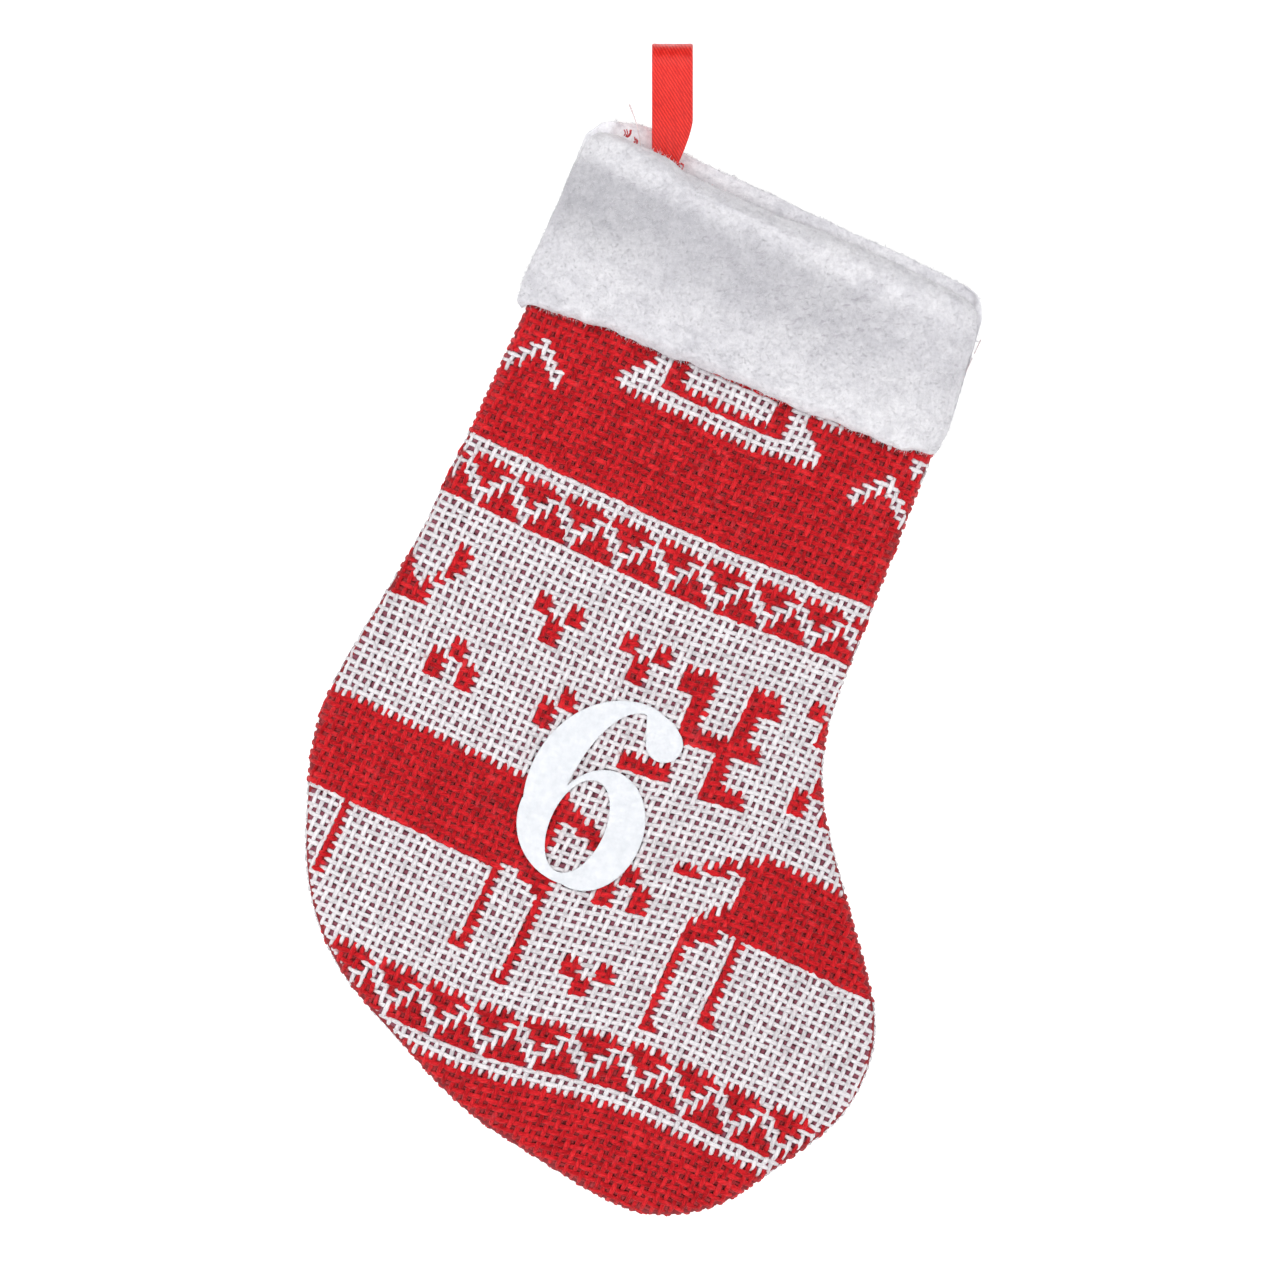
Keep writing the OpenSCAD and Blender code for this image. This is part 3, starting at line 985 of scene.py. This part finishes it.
def shape_fleece(piece, side):
    """Tufts, the hollow below the rim, a wavy hem, closed side seams, and painted light and shade: a painted
    shaded band below the front rim, which also shows more worn pile, and a painted lighter rim on the back
    cuff.
    """
    points = vectors(piece.data.vertices)
    across, down, out = cloth(points).T
    off_seam = out * side
    tuft = lumps(points, TUFTS) * mix(0.4, 1, np.clip(off_seam / 3, 0, 1))
    hollow = 0.95 * np.exp(-((down - 11.5) / 6.0) ** 2) * smooth((off_seam - 2) / 1.5)
    swell = vectors(piece.data.vertex_normals, "vector") * (tuft - hollow)[:, None]

    # Painted light and shade, stored as a tag: the back cuff's rim is painted lighter, and the front gets a
    # painted shaded band below the rim where the hollow falls into shade.
    if side == BACK:
        rise = 1.3 * np.exp(-((across + 4.5) / 4.0) ** 2) * smooth((2.5 - down) / 4)
        painted_shade_and_wear = -smooth((4 - down) / 4)
    else:
        rise = -0.9 * smooth((across + 1) / 4) * (1 - smooth((across - 14) / 16)) * smooth((3 - down) / 3)
        painted_shade_and_wear = 0.80 + 0.4 * np.exp(-((across + 7) / 8) ** 2) - 0.5 * smooth((across - 28) / 20)
        painted_shade_and_wear = painted_shade_and_wear * smooth((down - 3) / 3.5) * (1 - smooth((down - 9) / 11))
    tag(piece, "painted_shade_and_wear", 0.5 + 0.5 * painted_shade_and_wear)

    heel, toe = PANELS[side].edges(down)
    rise = rise - 0.6 * smooth((heel + 8 - across) / 8) * smooth((down - 12) / 10)
    wave = lumps(np.stack([across * MM, across * 0, down * 0], 1), HEM_WAVES)
    rise = rise + wave * smooth((down - 15) / 8)
    spread = 0.6 * smooth((across - toe + 4) / 4) - 0.4 * smooth((heel + 4 - across) / 4)
    at_side = np.clip(smooth((across - toe + 1) / 1.5) + smooth((heel + 1 - across) / 1.5), 0, 1)
    closing = np.clip(off_seam - 0.03, 0, 0.8) * at_side * (1 - smooth((off_seam - 0.8) / 1.2))

    shift = swell + rise[:, None] * UP + spread[:, None] * ACROSS
    shift[:, 1] += side * closing
    set_points(piece, points + MM * shift)


def fuzz(piece, name, seed, count):
    """Fine bent fibres standing out of a piece, thickest along its rim and hem."""
    rng = np.random.default_rng(seed)
    mesh = piece.data
    mesh.calc_loop_triangles()
    triangles = np.empty(len(mesh.loop_triangles) * 3, int)
    mesh.loop_triangles.foreach_get("vertices", triangles)
    corners = vectors(piece.data.vertices)[triangles.reshape(-1, 3)]
    cross = np.cross(corners[:, 1] - corners[:, 0], corners[:, 2] - corners[:, 0])
    area = np.linalg.norm(cross, axis=1)
    normal = cross / np.maximum(area, 1e-18)[:, None]
    out = cloth(corners.mean(1))[:, 2]
    outside = np.clip(np.abs(out) / 1.5 - 0.6, 0.15, 1)
    chosen = rng.choice(len(area), size=count, p=area * outside / (area * outside).sum())
    shares = rng.random((count, 2))
    over = shares.sum(1) > 1
    shares[over] = 1 - shares[over]
    root = (corners[chosen, 0] + shares[:, :1] * (corners[chosen, 1] - corners[chosen, 0])
            + shares[:, 1:] * (corners[chosen, 2] - corners[chosen, 0]))
    lean = rng.normal(0, 0.75, (count, 3))
    way = unit(normal[chosen] + lean)
    bend = rng.normal(0, 0.5, (count, 3))
    length = MM * rng.uniform(0.35, 1.0, (count, 1))
    spikes(name, root - normal[chosen] * 0.08 * MM, way, bend, length, 0.034 * MM)


def spikes(name, root, way, bend, length, radius):
    """Closed three-sided fibres: root, middle and a pointed tip."""
    middle = root + way * length * 0.5
    tip = root + (way + bend * 0.5) * length
    side = unit(np.cross(way, np.array([0.31, 0.72, 0.62])))
    other = np.cross(way, side)
    points = []
    for centre, size in ((root, radius), (middle, radius * 0.8)):
        for k in range(3):
            angle = 2 * math.pi * k / 3
            points.append(centre + size * (math.cos(angle) * side + math.sin(angle) * other))
    points.append(tip)
    points = np.stack(points, 1)
    count = len(root)
    base = (7 * np.arange(count))[:, None]
    quads = [base + np.array([k, (k + 1) % 3, 3 + (k + 1) % 3, 3 + k]) for k in range(3)]
    ends = [base + np.array([3 + k, 3 + (k + 1) % 3, 6]) for k in range(3)]
    ends.append(base + np.array([2, 1, 0]))
    faces = np.concatenate(quads).tolist() + np.concatenate(ends).tolist()
    dress(new_object(name, points.reshape(-1, 3), faces), PILE, "fleece")


def fleece_material():
    """Felted pile: fine grain over a broad drift, with short dark pores where the knitted back shows, and the
    cuff's painted shade and light multiplied in.
    """
    look = Nodes("fleece", roughness=0.95, Sheen_Weight=0.2, Sheen_Roughness=0.6, Specular_IOR_Level=0.2)
    broad = look.noise(60, 3, 0.5)
    base = look.ramp(broad, (0.35, (0.86, 0.85, 0.89)), (0.65, (0.97, 0.96, 0.99)))
    # Painted shade: the tag darkens the band below the front rim and lightens the back cuff's rim.
    painted_shade_and_wear = look.read("painted_shade_and_wear")
    shade_and_wear_tint = look.ramp(painted_shade_and_wear, (0.0, 1.0), (0.5, 0.80), (1.0, (0.55, 0.55, 0.56)))
    base = look.blend(1.0, base, shade_and_wear_tint, "MULTIPLY")
    grain = look.ramp(look.noise(1500, 5, 0.75), (0.32, (0.80, 0.80, 0.81)), (0.62, 1.0))
    mottled = look.blend(1.0, base, grain, "MULTIPLY")
    tufts = look.ramp(look.noise(420, 3, 0.6), (0.36, (0.89, 0.89, 0.90)), (0.58, 1.0))
    mottled = look.blend(1.0, mottled, tufts, "MULTIPLY")
    turn_y = math.atan2(UP[0], UP[2])
    pores = look.noise(900, 2, 0.5, (0.8, 1, 1.9), (0, -turn_y, 0))
    thin = look.noise(90, 2, 0.5)
    pores_and_shade = look.maths("MULTIPLY", look.ramp(pores, (0.62, 0), (0.70, 1)),
                      look.ramp(thin, (0.36, 0.2), (0.56, 1)))
    # More dark pores show inside the painted shaded band, which darkens it further.
    pores_and_shade = look.maths("MULTIPLY", pores_and_shade, look.ramp(painted_shade_and_wear, (0.5, 0.3), (0.9, 0.8)))
    look.colour(look.blend(pores_and_shade, mottled, (0.36, 0.34, 0.38)))
    look.bump(look.noise(2400, 5, 0.75), 0.00010, 0.8)
    return look.material


def pile_material():
    look = Nodes("fleece_pile", roughness=0.9, Sheen_Weight=0.2, Specular_IOR_Level=0.2)
    look.colour(look.ramp(look.noise(300, 3), (0.3, (0.64, 0.63, 0.665)), (0.7, (0.76, 0.75, 0.785))))
    return look.material


FLEECE = fleece_material()
PILE = pile_material()

# ---- Ribbon ----

RIBBON_W = 6.0
RIBBON_T = 0.3
TAIL_Y = 0.24


def ribbon_edges(height):
    """Left and right edge of the ribbon at a height above the tack: it is gathered in from the right."""
    gather = np.clip(1 - height / 6.6, 0, 1)
    left = np.full_like(height, -0.49 * RIBBON_W)
    right = 0.51 * RIBBON_W - 0.37 * RIBBON_W * gather ** 1.4
    return left, right


def loop_path(step):
    """Centres and outward directions of the front half of the loop, from the top down, in millimetres."""
    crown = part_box("ribbon_crown")
    radius = crown[1][2] / MM - RIBBON_T / 2
    meeting = -JOINTS["ribbon_flex"]["pos_m"][2] / MM
    angles = np.arange(0, np.pi / 2, step / radius)
    y = [-radius * math.sin(a) for a in angles]
    z = [radius * math.cos(a) for a in angles]
    drop = np.arange(0, -TACK[2] / MM + 1.5, step)
    lean = 1 - smooth(drop / meeting)
    y = np.concatenate([y, -(TAIL_Y + (radius - TAIL_Y) * lean)])
    z = np.concatenate([z, -drop])
    return y, z


def ribbon_sheet(name, y, z, columns=26):
    """A closed strip of ribbon along a path in the y-z plane, with rolled edges and gathers near the tack."""
    height = z - TACK[2] / MM
    left, right = ribbon_edges(height)
    share = np.linspace(0, 1, columns)
    x = mix(left[:, None], right[:, None], share[None])
    gather = np.clip(1 - height / 6, 0, 1)[:, None] * (z < 0)[:, None]
    pleat = 0.22 * gather * np.sin(share * 2 * np.pi * 2.2 + 0.6)[None]
    cup = 0.35 * (1 - np.abs(2 * height[:, None] / 14.4 - 1).clip(0, 1)) * (z < 0)[:, None]
    pleat = pleat + cup * (np.sin(np.pi * share) - 0.5 * np.sin(2 * np.pi * share))[None]
    along = unit(np.stack([np.gradient(y), np.gradient(z)], 1))
    normal = np.stack([along[:, 1], -along[:, 0]], 1)
    edge = np.minimum(share, 1 - share) * RIBBON_W
    roll = 1 + 0.25 * np.exp(-((edge - 0.35) / 0.18) ** 2)
    half = RIBBON_T / 2 * np.sqrt(np.clip(edge / 0.12, 0.04, 1)) * roll
    sheets = []
    for face in (1, -1):
        lift = pleat + face * half[None]
        sheets.append(np.stack([
            x, y[:, None] + normal[:, :1] * lift, z[:, None] + normal[:, 1:] * lift,
        ], -1).reshape(-1, 3))
    piece = new_object(name, np.concatenate(sheets) * MM, closed_sheet_faces(len(z), columns))
    clean(piece)
    sharpen_ends(piece, columns, len(z))
    dress(piece, SATIN, "ribbon", body=None)
    return piece


def sharpen_ends(piece, columns, rows):
    """Keeps the flat ends of a strip out of its smooth shading, so that two strips meet without a line."""
    half = columns * rows
    for edge in piece.data.edges:
        a, b = (i % half for i in edge.vertices)
        if a // columns == b // columns and a // columns in (0, rows - 1) and a != b:
            edge.use_edge_sharp = True


def satin_material():
    look = Nodes("satin_ribbon", roughness=0.45, Sheen_Weight=0.05, Anisotropic=0.4, Specular_IOR_Level=0.35)
    mapping = look.add("ShaderNodeMapping", {"Vector": look.place, "Rotation": (0, math.radians(32), 0)})
    wave = look.add("ShaderNodeTexWave", {
        "Vector": mapping.outputs["Vector"], "Scale": 780.0,
        "Distortion": 1.6, "Detail": 2.0, "Detail Scale": 3.0,
    }, wave_type="BANDS", bands_direction="X").outputs["Fac"]
    cross = look.noise(1900, 2, 0.5, (1, 1, 0.35))
    floats = look.maths("MULTIPLY", wave, cross)
    look.colour(look.ramp(floats, (0.10, (0.56, 0.008, 0.006)), (0.50, (0.84, 0.032, 0.020))))
    look.rough(look.ramp(cross, (0.3, 0.34), (0.7, 0.52)))
    look.bump(floats, 0.00005, 0.8)
    return look.material


SATIN = satin_material()


def ribbon():
    """One ribbon in three pieces that meet where the loop doesn't bend."""
    y, z = loop_path(0.22)
    twist_end, flex_end = -6.0, -11.2
    twist_row, flex_row = (int(np.argmin(np.abs(z - height))) for height in (twist_end, flex_end))
    crown_y = np.concatenate([y[twist_row::-1], -y[1:twist_row + 1]])
    crown_z = np.concatenate([z[twist_row::-1], z[1:twist_row + 1]])
    loop = ribbon_sheet("ribbon_loop", crown_y[::-1], crown_z[::-1])
    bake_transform(loop)
    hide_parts("ribbon_crown")
    middle, last = slice(twist_row, flex_row + 1), slice(flex_row, None)
    for side, node in ((FRONT, "ribbon_front_leg"), (BACK, "ribbon_back_leg")):
        leg = ribbon_sheet(node + "_satin", side * y[middle], z[middle])
        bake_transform(leg)
        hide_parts(node)
        end = ribbon_sheet(SIDE_NAMES[side] + "_ribbon_end", side * y[last], z[last])
        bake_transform(end)
        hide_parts("ribbon_tail", "ribbon_sewn_ends")


# ---- Threads ----

THREAD_R = 0.075


def thread_material(name, dark, light):
    look = Nodes(name, roughness=0.7, Sheen_Weight=0.3)
    look.colour(look.ramp(look.noise(2600, 3), (0.3, dark), (0.7, light)))
    look.bump(look.noise(5200, 2), 0.00003, 0.6)
    return look.material


def islands(node):
    """The separate solids of a CAD node, as lists of points in millimetres of the frame."""
    mesh = NODES[node].data
    owner = list(range(len(mesh.vertices)))

    def root(i):
        while owner[i] != i:
            owner[i] = owner[owner[i]]
            i = owner[i]
        return i

    for edge in mesh.edges:
        a, b = (root(i) for i in edge.vertices)
        owner[a] = b
    groups = {}
    for vertex in mesh.vertices:
        key = tuple(round(c, 7) for c in mesh.vertices[root(vertex.index)].co)
        groups.setdefault(key, []).append(tuple(vertex.co))
    return [np.array(points) / MM for points in groups.values()]


def twisted(path, radius=THREAD_R, turns_per_mm=1.1):
    """Two plies twisted round a path, as tube lines in metres."""
    step = np.gradient(path, axis=0)
    lengths = np.linalg.norm(step, axis=1)
    step /= lengths[:, None]
    run = np.cumsum(lengths)
    side = unit(np.cross(step, np.array([0.36, 0.48, 0.80])))
    other = np.cross(step, side)
    lines = []
    for ply in (0, math.pi):
        angle = (2 * np.pi * turns_per_mm * run + ply)[:, None]
        centre = path + radius * 0.6 * (np.cos(angle) * side + np.sin(angle) * other)
        lines.append((centre * MM, side * radius * 0.75 * MM, other * radius * 0.75 * MM))
    return lines


def stitch_pieces(node, material, slot):
    """Each straight CAD stitch becomes a stitch of two-ply thread."""
    lines = []
    groups = [np.concatenate(g) for g in pair_up(islands(node))]
    for points in groups:
        middle = points.mean(0)
        axis = np.linalg.svd(points - middle)[2][0]
        along = (points - middle) @ axis
        a, b = middle + axis * along.min(), middle + axis * along.max()
        t = np.linspace(0, 1, 14)[:, None]
        lines.extend(twisted(mix(a, b, t)))
    piece = tubes(node + "_thread", lines, 5)
    dress(piece, material, slot, node)


def pair_up(groups):
    """Joins islands that share a place, such as the caps and the wall of one solid."""
    joined = []
    for group in groups:
        low, high = group.min(0) - 0.01, group.max(0) + 0.01
        home = next((j for j in joined if (j[0][0] <= high).all() and (j[0][1] >= low).all()
                     and np.abs(j[0][2] - group.mean(0)).max() < 1.3), None)
        if home:
            home[1].append(group)
        else:
            joined.append(((low, high, group.mean(0)), [group]))
    return [parts for _, parts in joined]


def threads():
    red = thread_material("red_sewing_thread", (0.42, 0.006, 0.012), (0.66, 0.03, 0.035))
    pale = thread_material("pale_sewing_thread", (0.66, 0.52, 0.54), (0.88, 0.80, 0.81))
    for node in ("seam_needle_thread", "seam_bobbin_thread", "ribbon_tack_stitches"):
        stitch_pieces(node, red, "red_thread")
    for node in ("front_mouth_stitches", "back_mouth_stitches", "cuff_side_stitches"):
        stitch_pieces(node, pale, "pale_thread")
    loose_end(pale)
    knot(red)
    yarn_ends(red)
    cut_edge()


def loose_end(material):
    """The pale thread end that stands out of the mouth beside the ribbon, frayed to a thicker tip."""
    low, high = (np.array(corner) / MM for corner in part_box("loose_thread_end"))
    t = np.linspace(0, 1, 24)[:, None]
    foot = np.array([high[0], 0, low[2]])
    tip = np.array([low[0], 0, high[2]])
    path = mix(foot, tip, t) + np.array([0.35, 0, 0.25]) * np.sin(np.pi * t)
    fat = 1 + 0.7 * smooth((t - 0.72) / 0.2)
    lines = [(c, w * fat, h * fat) for c, w, h in twisted(path, 0.10)]
    piece = tubes("loose_thread_end_pale", lines, 6)
    dress(piece, material, "pale_thread", "loose_thread_end")


def knot(material):
    """The small overhand knot of the tacking thread, at the foot of the ribbon."""
    t = np.linspace(0, 2 * np.pi, 60)
    size = 0.30
    path = size * np.stack([
        np.sin(t) + 2 * np.sin(2 * t), -np.sin(3 * t), np.cos(t) - 2 * np.cos(2 * t),
    ], 1)
    place = TACK / MM + np.array([0.85, -2.2, -0.45])
    path = path + place
    piece = tubes("tack_knot", twisted(path, 0.13), 6)
    dress(piece, material, "red_thread")


def short_end(foot, tip, bow, radius):
    """A short bowed end of two-ply yarn between two cloth points, as tube lines."""
    t = np.linspace(0, 1, 8)[:, None]
    path = mix(foot, tip, t)
    path[:, 0] += bow * np.sin(np.pi * t[:, 0])
    return twisted(world(path[:, 0], path[:, 1], path[:, 2]) / MM, radius)


def yarn_ends(material):
    """Two tufts of red yarn from the panel's cut edge, caught between the rims beside the ribbon."""
    rng = random.Random(5)
    lines = []
    for across, down in ((-7.9, -1.5), (-6.2, -0.7)):
        for _ in range(5):
            foot = np.array([across + rng.uniform(-0.3, 0.3), down + 0.6, 2.1])
            tip = foot + np.array([rng.uniform(-0.5, 0.3), -rng.uniform(0.6, 1.3), rng.uniform(0.2, 0.8)])
            lines.extend(short_end(foot, tip, 0.2, 0.09))
    dress(tubes("red_yarn_ends", lines, 5), material, "red_thread")


def cut_edge():
    """Faded ends of the front panel's cut edge, lying between the rims to the right of the ribbon."""
    rng = random.Random(6)
    lines = []
    for step in range(44):
        across = 1.2 + 0.23 * step
        out = 0.5 * float(PANELS[FRONT].lining(across, 1.0))
        foot = np.array([across, 1.6, out])
        tip = foot + np.array([rng.uniform(-1.6, 1.6), -rng.uniform(0.9, 1.5), rng.uniform(0.1, 0.5)])
        lines.extend(short_end(foot, tip, 0, 0.08))
    faded = thread_material("faded_red_yarn", (0.66, 0.16, 0.19), (0.85, 0.45, 0.49))
    dress(tubes("cut_edge_ends", lines, 5), faded, "red_thread")


film()
cuff(FRONT)
cuff(BACK)
ribbon()
threads()

# ---- Stage, light and camera ----

FRAME_SIDE = 0.1875
CAMERA_DISTANCE = 1.0


def studio():
    centre = Vector((-0.00469, 0, TACK[2] - 0.0696))
    camera_data = bpy.data.cameras.new("camera")
    camera_data.type = "ORTHO"
    camera_data.ortho_scale = FRAME_SIDE
    camera = link("camera", camera_data)
    camera.location = centre + Vector((0, -CAMERA_DISTANCE, 0))
    camera.rotation_euler = (math.radians(90), 0, 0)
    bpy.context.scene.camera = camera
    sweep()
    light("key", (-0.30, -0.50, 0.30), 0.40, 1.25)
    light("fill", (0.5, -0.55, 0.0), 0.6, 0.40)
    light("rim", (0.05, 0.35, 0.35), 0.35, 0.5)
    bpy.context.scene.view_settings.view_transform = "Standard"


def light(name, place, size, power):
    data = bpy.data.lights.new(name, "AREA")
    data.size = size
    data.energy = power
    lamp = link(name, data)
    lamp.location = place
    aim = Vector((0, 0, TACK[2] - 0.07)) - lamp.location
    lamp.rotation_euler = aim.to_track_quat("-Z", "Y").to_euler()


def sweep():
    """A pale floor that curves up into a backdrop all round, so that any view sees the same plain studio."""
    floor = cad_bounds[0][2] - 0.02
    radius, wall = 2.2, 0.8
    profile = [(0.0, floor), (radius - wall, floor)]
    for step in range(1, 13):
        angle = math.radians(90 * step / 12)
        profile.append((radius - wall + wall * math.sin(angle), floor + wall * (1 - math.cos(angle))))
    profile.append((radius, floor + 3))
    around = 96
    points = [(r * math.cos(2 * math.pi * k / around), r * math.sin(2 * math.pi * k / around), z)
              for r, z in profile for k in range(around)]
    rings = [i * around for i in range(len(profile))]
    faces = [(a + k, a + (k + 1) % around, b + (k + 1) % around, b + k)
             for a, b in zip(rings, rings[1:]) for k in range(around)]
    piece = new_object("floor", points, faces)
    look = Nodes("pale_floor", roughness=0.9)
    look.colour(look.ramp(look.noise(3), (0.3, 0.90), (0.7, 0.92)))
    look.shader.inputs["Emission Color"].default_value = (1, 1, 1, 1)
    look.shader.inputs["Emission Strength"].default_value = 0.42
    piece.data.materials.append(look.material)


studio()
